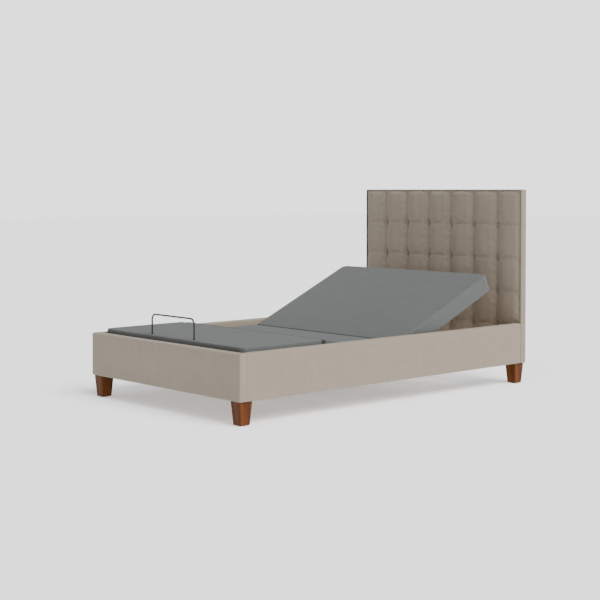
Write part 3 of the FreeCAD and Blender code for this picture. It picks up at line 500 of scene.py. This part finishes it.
def make_rail(name, crown_axis, seed):
    """A rail's cloth cover: a rounded box, open below, drawn tight with a slight crown and slow waves."""
    low, high = (np.array(corner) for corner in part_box(name))
    points, quads = rounded_box(low, high, RAIL_EDGE, 14 * MM, leave_out=((2, 0),))
    points = swell(points, low, high, 1.6 * MM, crown_axis)
    inside = np.clip(points, low + RAIL_EDGE, high - RAIL_EDGE)
    out = points - inside
    length = np.linalg.norm(out, axis=1, keepdims=True)
    points += out / np.maximum(length, 1e-9) * (0.5 * MM * bump_noise(points, 0.16, seed))[:, None]
    piece = make_piece(name.replace("cover", "upholstery"), points, quads)
    fabric_thickness(piece, 2.2 * MM)
    return finish(piece, SURROUND, "base", "surround_fabric", name)


# ---------------------------------------------------------------- headboard

TUFT_COLUMNS = 7
CELLS_ACROSS = 30
CELLS_UP = 30
PUFF = 19 * MM                  # seam to the top of a square
VALLEY_RISE = 4 * MM
SEAM_BACK = 9 * MM              # vertical seam behind the front plane
DRAWN_ACROSS = 20 * MM          # a button's dimple, across and up
DRAWN_UP = 28 * MM
SINK = 10 * MM                  # its depth
PLEATS = 7                      # short pleats round each button
PLEAT_HEIGHT = 1.2 * MM
PLEAT_PLACE, PLEAT_SPREAD = 26 * MM, 14 * MM
BUTTON_HOLD = 13 * MM           # cloth this near a button's middle is sewn down
PRESSED_X, PRESSED_Z = 0.585, 0.375     # the side rails press beyond and below these
PRESSED_FADE = 20 * MM
TOP_FADE = 26 * MM              # seams die out this far below the top edge
TOP_STAND = 7 * MM              # the cloth's height along that edge


def tuft_lines():
    """The seams' places: X of the vertical ones and Z of the horizontal ones, with the pad's edges."""
    low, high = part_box("headboard_pad")
    button_low, button_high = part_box("headboard_buttons")
    radius = 12 * MM
    across = np.linspace(button_low.x + radius, button_high.x - radius, TUFT_COLUMNS - 1)
    up = np.linspace(button_low.z + radius, button_high.z - radius, 4)
    return np.concatenate([[low.x], across, [high.x]]), np.concatenate([[low.z], up, [high.z]])


def between(lines, cells):
    """Grid stops that fall on every seam line and lie closer together beside it.

    With each stop goes its place within a square, from -1 to 1.
    """
    step = np.linspace(-1, 1, cells + 1)
    step = np.sin(step * math.pi / 2) * 0.35 + step * 0.65
    stops, local = [], []
    for start, end in zip(lines[:-1], lines[1:]):
        stops.append(start + (end - start) * (step[:-1] + 1) / 2)
        local.append(step[:-1])
    return np.append(np.concatenate(stops), lines[-1]), np.append(np.concatenate(local), 1.0)


def make_headboard_pad():
    """The tufted front.

    In a square with s and t from -1 to 1 across and up, the cloth stands
    PUFF * (1 - |s|^2.3)^0.8 * (0.80 + 0.20 * (1 - |t|^4)^0.5) in front of the
    vertical seams, so those are broad soft valleys and the horizontal ones
    fine creases.  Midway between two buttons a vertical seam rises by
    VALLEY_RISE.  Each button draws the cloth back by a bell curve, narrow
    across and longer up, with short pleats that fan out of it.  Near the top
    edge all of it blends into one even height, TOP_STAND.  Where the side
    rails press on the pad it lies flat.
    """
    low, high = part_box("headboard_pad")
    x_lines, z_lines = tuft_lines()
    xs, s = between(x_lines, CELLS_ACROSS)
    zs, t = between(z_lines, CELLS_UP)
    x, z = np.meshgrid(xs, zs)
    s, t = np.meshgrid(s, t)
    pillow_s = np.clip(1 - np.abs(s) ** 2.3, 0, 1) ** 0.8
    pillow_t = np.clip(1 - np.abs(t) ** 4, 0, 1) ** 0.5
    stand = PUFF * pillow_s * (0.80 + 0.20 * pillow_t) + VALLEY_RISE * (1 - pillow_s) * (1 - t ** 2)
    buttons = np.array([(bx, bz) for bx in x_lines[1:-1] for bz in z_lines[1:-1]])
    dx = x[..., None] - buttons[:, 0]
    dz = z[..., None] - buttons[:, 1]
    reach = np.hypot(dx, dz)
    sink = SINK * np.exp(-np.hypot(dx / DRAWN_ACROSS, dz / DRAWN_UP) ** 2)
    around = PLEATS * np.arctan2(dz, dx) + 3 * np.sin(40 * dx)
    pleat = PLEAT_HEIGHT * np.cos(around) * np.exp(-((reach - PLEAT_PLACE) / PLEAT_SPREAD) ** 2)
    stand = stand - sink.sum(axis=-1) + pleat.sum(axis=-1) * pillow_s
    level = np.clip((high.z - z) / TOP_FADE, 0, 1)
    level = level * level * (3 - 2 * level)
    stand = stand * level + TOP_STAND * (1 - level)
    pressed = np.clip((np.abs(x) - PRESSED_X) / PRESSED_FADE, 0, 1)
    pressed = pressed * np.clip((PRESSED_Z - z) / PRESSED_FADE, 0, 1)
    edge = np.minimum.reduce([x - low.x, high.x - x, high.z - z])
    border = np.clip(edge / (6 * MM), 0, 1)
    front = low.y + SEAM_BACK - stand
    front = front * (1 - pressed) + (low.y + 2 * MM) * pressed
    front = front + (1 - border) * 2 * MM
    rows, columns = x.shape
    face = grid_faces(rows, columns)
    cloth = make_piece("front_cloth", np.stack([x, front, z], axis=-1).reshape(-1, 3), face)
    on_seam = (np.abs(np.abs(s) - 1) < 1e-6) | (np.abs(np.abs(t) - 1) < 1e-6) | (pressed > 0)
    near_button = reach.min(axis=-1) < BUTTON_HOLD
    puff_up(cloth, (on_seam | near_button).ravel(), pressure=0.35, slack=0.010, cap=3 * MM)
    sheet = coordinates(cloth)
    bpy.data.objects.remove(cloth)
    behind = sheet * (1, 0, 1) + (0, high.y - 1 * MM, 0)
    rim = np.concatenate([
        np.arange(columns), np.arange(1, rows) * columns + columns - 1,
        (rows - 1) * columns + np.arange(columns - 2, -1, -1), np.arange(rows - 2, 0, -1) * columns,
    ])
    beside = np.roll(rim, -1)
    walls = np.stack([beside, rim, len(sheet) + rim, len(sheet) + beside], axis=1)
    piece = make_piece("headboard_tufted_pad", np.concatenate([sheet, behind]),
                       np.concatenate([face, len(sheet) + face[:, ::-1], walls]))
    finish(piece, SURROUND, "base", "surround_fabric", "headboard_pad")
    return buttons, low.y


def make_buttons(places, front):
    """Covered buttons: a dome 24 mm wide with a rolled rim."""
    profile = np.array([(0, 6.2), (5, 6.5), (8.5, 7.4), (10.8, 8.8),
                        (11.8, 10.2), (11.6, 11.4), (9.5, 12.2), (0, 12.4)]) * MM
    centres = np.column_stack([places[:, 0], np.full(len(places), front), places[:, 1]])
    piece = make_piece("headboard_covered_buttons", *revolved(profile, 24, centres))
    smooth_out(piece)
    finish(piece, BUTTON, "base", "surround_fabric", "headboard_buttons")


def make_headboard_wrap():
    """Band and back of the headboard: a rounded box, open at the front and below."""
    low, high = (np.array(corner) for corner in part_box("headboard_wrap"))
    low[1] += 1 * MM
    points, quads = rounded_box(low, high, 6 * MM, 16 * MM, leave_out=((1, 0), (2, 0)))
    points = swell(points, low, high, 1.5 * MM, 0)
    piece = make_piece("headboard_band_and_back", points, quads)
    fabric_thickness(piece, 2.2 * MM)
    finish(piece, SURROUND, "base", "surround_fabric", "headboard_wrap")


def make_piping():
    """Piping where the headboard's front meets its band: up one side, over the top, down the other.

    The line is straight runs joined by quarter circles of 9 mm.
    """
    low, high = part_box("headboard_wrap")
    radius, bend = 2.4 * MM, 9 * MM
    half, top = high.x - radius - 0.4 * MM, high.z - radius - 0.4 * MM
    turn = np.linspace(0, math.pi / 2, 9)
    left = np.column_stack([-half + bend - bend * np.cos(turn), top - bend + bend * np.sin(turn)])
    right = np.column_stack([half - bend + bend * np.sin(turn), top - bend + bend * np.cos(turn)])
    up = np.column_stack([np.full(60, -half), np.linspace(low.z, top - bend, 60, endpoint=False)])
    over = np.column_stack([np.linspace(-half + bend, half - bend, 80)[1:-1], np.full(78, top)])
    down = np.column_stack([np.full(60, half), np.linspace(top - bend, low.z, 61)[1:]])
    flat = np.concatenate([up, left, over, right, down])
    line = np.column_stack([flat[:, 0], np.full(len(flat), low.y + 1.5 * MM), flat[:, 1]])
    piece = make_piece("headboard_piping", *tube_along(line, radius, 12, (0, 1, 0)))
    finish(piece, PIPING, "base", "surround_fabric")


# --------------------------------------------------------------------- deck

def turned(points, joint, angle):
    """Points turned about a joint's axis by an angle in degrees."""
    centre = np.array(joint["pos_m"])
    way = math.radians(angle) * joint["axis"][0]
    y, z = (points - centre)[:, 1], (points - centre)[:, 2]
    return np.column_stack([points[:, 0], centre[1] + y * math.cos(way) - z * math.sin(way),
                            centre[2] + y * math.sin(way) + z * math.cos(way)])


def lying_box(section):
    """A section's cover with the deck flat.

    The two tilted ones are placed from their hinge's axis, the others by their box at rest.
    """
    low, high = (np.array(corner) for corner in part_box(f"{section}_cover"))
    if section not in DECK_JOINTS:
        return low, high
    joint, near, far = DECK_JOINTS[section]
    _, y, z = joints[joint]["pos_m"]
    start, end = sorted((y + near, y + far))
    return np.array([low[0], start, z - DECK_BELOW]), np.array([high[0], end, z + DECK_ABOVE])


# The hinge's joint, and where the section starts and ends from its axis along the bed.
DECK_JOINTS = {"thigh": ("thigh_hinge", -0.009, -0.291), "back": ("back_hinge", 0.009, 0.809)}
DECK_BELOW, DECK_ABOVE = 80 * MM, 14 * MM       # a section's depth below and above the axis
DECK_EDGE = 6 * MM
FREE_ENDS = {"calf": 0, "back": 1}


def make_deck_cover(section, seed):
    """A section's cloth cover: a rounded box, open below, with a thin layer of wadding.

    At a free end the corners are round in plan: within 30 mm of a corner an
    offset (a, b) becomes (a, b) * max(|a|, |b|) / length of (a, b).
    """
    low, high = lying_box(section)
    points, quads = rounded_box(low, high, DECK_EDGE, 14 * MM, leave_out=((2, 0),))
    middle_y = (low[1] + high[1]) / 2
    if section in FREE_ENDS:
        corner = 30 * MM
        inner = np.clip(points[:, :2], low[:2] + corner, high[:2] - corner)
        off = points[:, :2] - inner
        at_end = (points[:, 1] < middle_y) if FREE_ENDS[section] == 0 else (points[:, 1] > middle_y)
        length = np.linalg.norm(off, axis=1)
        scale = np.where(at_end & (length > 0), np.abs(off).max(axis=1) / np.maximum(length, 1e-9), 1)
        points[:, :2] = inner + off * scale[:, None]
    points = swell(points, low, high, 1.2 * MM, 0)
    points = swell(points, low, high, 1.0 * MM, 1)
    top = points[:, 2] > high[2] - 1e-5
    inset = np.minimum.reduce([points[:, 0] - low[0], high[0] - points[:, 0],
                               points[:, 1] - low[1], high[1] - points[:, 1]])
    lift = np.clip(inset / 0.05, 0, 1) ** 2
    points[:, 2] += np.where(top, lift * (0.8 * MM + 0.7 * MM * bump_noise(points, 0.14, seed)), 0)
    if section in DECK_JOINTS:
        joint = joints[DECK_JOINTS[section][0]]
        points = turned(points, joint, -joint["range_deg"][0])
    piece = make_piece(f"{section}_deck_upholstery", points, quads)
    fabric_thickness(piece, 2.2 * MM)
    return finish(piece, DECK, "base" if section == "seat" else section, "deck_fabric", f"{section}_cover")


# -------------------------------------------------------------------- stage

BACKDROP = 2.45
ROOM_LIGHT = 0.55
FLOOR_GLOW = 0.50               # a lit paper floor, so its shadows stay soft
# name, height above the floor, heading (0 shines from -Y, 90 from +X), strength, softness
LAMPS = (("key", 47, 92, 5.0, 45), ("front", 50, 20, 0.4, 80))


def make_stage():
    """Pale floor, even studio light and the camera."""
    corners = [(-40, -40, 0), (40, -40, 0), (40, 40, 0), (-40, 40, 0)]
    floor = make_piece("floor", corners, [(0, 1, 2, 3)], smooth=False)
    material, tree, at = new_material("pale_paper_floor")
    grain = add(tree, "ShaderNodeTexNoise", values={"Scale": 3.0, "Detail": 2.0}, links={"Vector": at})
    colour = colour_ramp(tree, grain.outputs["Fac"], ((0.3, "#F0F1F3"), (0.7, "#F2F3F5")))
    shade(material, tree, colour, grain.outputs["Fac"], 0.01,
          {"Roughness": 1.0, "Specular IOR Level": 0.0, "Emission Color": linear("#F4F5F8"),
           "Emission Strength": FLOOR_GLOW})
    floor.data.materials.append(material)

    world = bpy.data.worlds.new("studio")
    bpy.context.scene.world = world
    world.use_nodes = True
    tree = world.node_tree
    tree.nodes.clear()
    seen = add(tree, "ShaderNodeBackground", values={"Color": linear("#F0F1F4"), "Strength": BACKDROP})
    lit = add(tree, "ShaderNodeBackground", values={"Color": linear("#F4F5F8"), "Strength": ROOM_LIGHT})
    ray = add(tree, "ShaderNodeLightPath")
    mix = add(tree, "ShaderNodeMixShader",
              links={0: ray.outputs["Is Camera Ray"], 1: lit.outputs[0], 2: seen.outputs[0]})
    add(tree, "ShaderNodeOutputWorld", links={"Surface": mix.outputs[0]})

    for name, height, heading, strength, spread in LAMPS:
        lamp = bpy.data.lights.new(name, "SUN")
        lamp.energy = strength
        lamp.angle = math.radians(spread)
        sun = bpy.data.objects.new(name, lamp)
        sun.rotation_euler = (math.radians(90 - height), 0, math.radians(heading))
        bpy.context.scene.collection.objects.link(sun)

    lens = bpy.data.cameras.new("camera")
    lens.sensor_width = 36
    lens.lens = 77.6
    lens.shift_y = -7 / 60
    lens.clip_end = 200
    camera = bpy.data.objects.new("camera", lens)
    camera.location = (5.393, -4.979, 1.136)
    camera.rotation_euler = (math.radians(90 - 1.78), 0, math.radians(48.01))
    bpy.context.scene.collection.objects.link(camera)
    bpy.context.scene.camera = camera


make_stage()
finish_cad_nodes()
make_rail("foot_rail_cover", 1, 3)
make_rail("side_rail_cover_left", 0, 4)
make_rail("side_rail_cover_right", 0, 5)
make_buttons(*make_headboard_pad())
make_headboard_wrap()
make_piping()
for seed, section in enumerate(("calf", "thigh", "seat", "back")):
    make_deck_cover(section, seed + 10)
